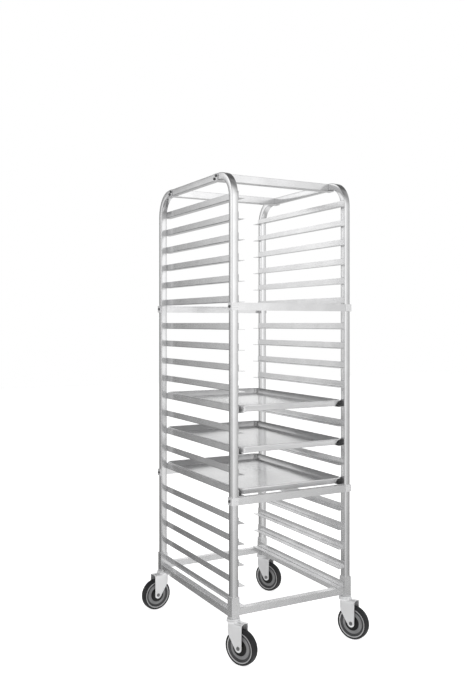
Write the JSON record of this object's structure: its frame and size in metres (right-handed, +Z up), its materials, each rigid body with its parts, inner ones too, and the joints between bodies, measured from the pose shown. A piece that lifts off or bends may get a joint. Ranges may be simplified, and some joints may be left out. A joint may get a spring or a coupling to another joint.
{
  "type": "sheet pan rack",
  "caption": "Tall open aluminium rack on swivel casters, with angle runners that carry sliding sheet pans loaded from the end.",
  "frame": {"origin": "on the floor, under the centre of the whole box, casters included", "axes": "+Z up the uprights, -Y out of the loading side, +X to the right when facing the loading side"},
  "size_m": [0.6454, 0.756, 1.776],
  "materials": {
    "aluminium": "satin mill finish",
    "runner": "satin extruded angle",
    "pan": "bright smooth sheet",
    "zinc": "bright zinc plate",
    "wheel": "matt dark rubber on a grey core"
  },
  "bodies": {
    "rack": {"hoop_left": "aluminium", "hoop_right": "aluminium", "runner_left_01": "runner", "runner_left_02": "runner", "runner_left_03": "runner", "runner_left_04": "runner", "runner_left_05": "runner", "runner_left_06": "runner", "runner_left_07": "runner", "runner_left_08": "runner", "runner_left_09": "runner", "runner_left_10": "runner", "runner_left_11": "runner", "runner_left_12": "runner", "runner_left_13": "runner", "runner_left_14": "runner", "runner_left_15": "runner", "runner_left_16": "runner", "runner_left_17": "runner", "runner_left_18": "runner", "runner_left_19": "runner", "runner_left_20": "runner", "runner_right_01": "runner", "runner_right_02": "runner", "runner_right_03": "runner", "runner_right_04": "runner", "runner_right_05": "runner", "runner_right_06": "runner", "runner_right_07": "runner", "runner_right_08": "runner", "runner_right_09": "runner", "runner_right_10": "runner", "runner_right_11": "runner", "runner_right_12": "runner", "runner_right_13": "runner", "runner_right_14": "runner", "runner_right_15": "runner", "runner_right_16": "runner", "runner_right_17": "runner", "runner_right_18": "runner", "runner_right_19": "runner", "runner_right_20": "runner", "top_bar_front": "aluminium", "upper_bar_front": "aluminium", "lower_bar_front": "aluminium", "top_bar_rear": "aluminium", "upper_bar_rear": "aluminium", "lower_bar_rear": "aluminium", "base_frame": "aluminium"},
    "fork_front_left": {"caster_fork_front_left": "zinc"},
    "wheel_front_left": {"caster_wheel_front_left": "wheel"},
    "fork_front_right": {"caster_fork_front_right": "zinc"},
    "wheel_front_right": {"caster_wheel_front_right": "wheel"},
    "fork_rear_left": {"caster_fork_rear_left": "zinc"},
    "wheel_rear_left": {"caster_wheel_rear_left": "wheel"},
    "fork_rear_right": {"caster_fork_rear_right": "zinc"},
    "wheel_rear_right": {"caster_wheel_rear_right": "wheel"},
    "pan_11": {"pan_11": "pan"},
    "pan_13": {"pan_13": "pan"},
    "pan_15": {"pan_15": "pan"}
  },
  "joints": [
    {"name": "swivel_front_left", "type": "hinge", "parent": "rack", "child": "fork_front_left", "pos_m": [-0.22406, -0.28578, 0.14], "axis": [0, 0, 1], "continuous": true},
    {"name": "roll_front_left", "type": "hinge", "parent": "fork_front_left", "child": "wheel_front_left", "pos_m": [-0.20927, -0.3175, 0.0635], "axis": [0.9063, 0.4226, 0], "continuous": true},
    {"name": "swivel_front_right", "type": "hinge", "parent": "rack", "child": "fork_front_right", "pos_m": [0.27124, -0.28578, 0.14], "axis": [0, 0, 1], "continuous": true},
    {"name": "roll_front_right", "type": "hinge", "parent": "fork_front_right", "child": "wheel_front_right", "pos_m": [0.28603, -0.3175, 0.0635], "axis": [0.9063, 0.4226, 0], "continuous": true},
    {"name": "swivel_rear_left", "type": "hinge", "parent": "rack", "child": "fork_rear_left", "pos_m": [-0.22406, 0.34922, 0.14], "axis": [0, 0, 1], "continuous": true},
    {"name": "roll_rear_left", "type": "hinge", "parent": "fork_rear_left", "child": "wheel_rear_left", "pos_m": [-0.2588, 0.34496, 0.0635], "axis": [0.1219, -0.9925, 0], "continuous": true},
    {"name": "swivel_rear_right", "type": "hinge", "parent": "rack", "child": "fork_rear_right", "pos_m": [0.27124, 0.34922, 0.14], "axis": [0, 0, 1], "continuous": true},
    {"name": "roll_rear_right", "type": "hinge", "parent": "fork_rear_right", "child": "wheel_rear_right", "pos_m": [0.28603, 0.3175, 0.0635], "axis": [0.9063, 0.4226, 0], "continuous": true},
    {"name": "pull_pan_11", "type": "slide", "parent": "rack", "child": "pan_11", "axis": [0, -1, 0], "range_m": [0, 0.62]},
    {"name": "pull_pan_13", "type": "slide", "parent": "rack", "child": "pan_13", "axis": [0, -1, 0], "range_m": [0, 0.62]},
    {"name": "pull_pan_15", "type": "slide", "parent": "rack", "child": "pan_15", "axis": [0, -1, 0], "range_m": [0, 0.62]}
  ]
}
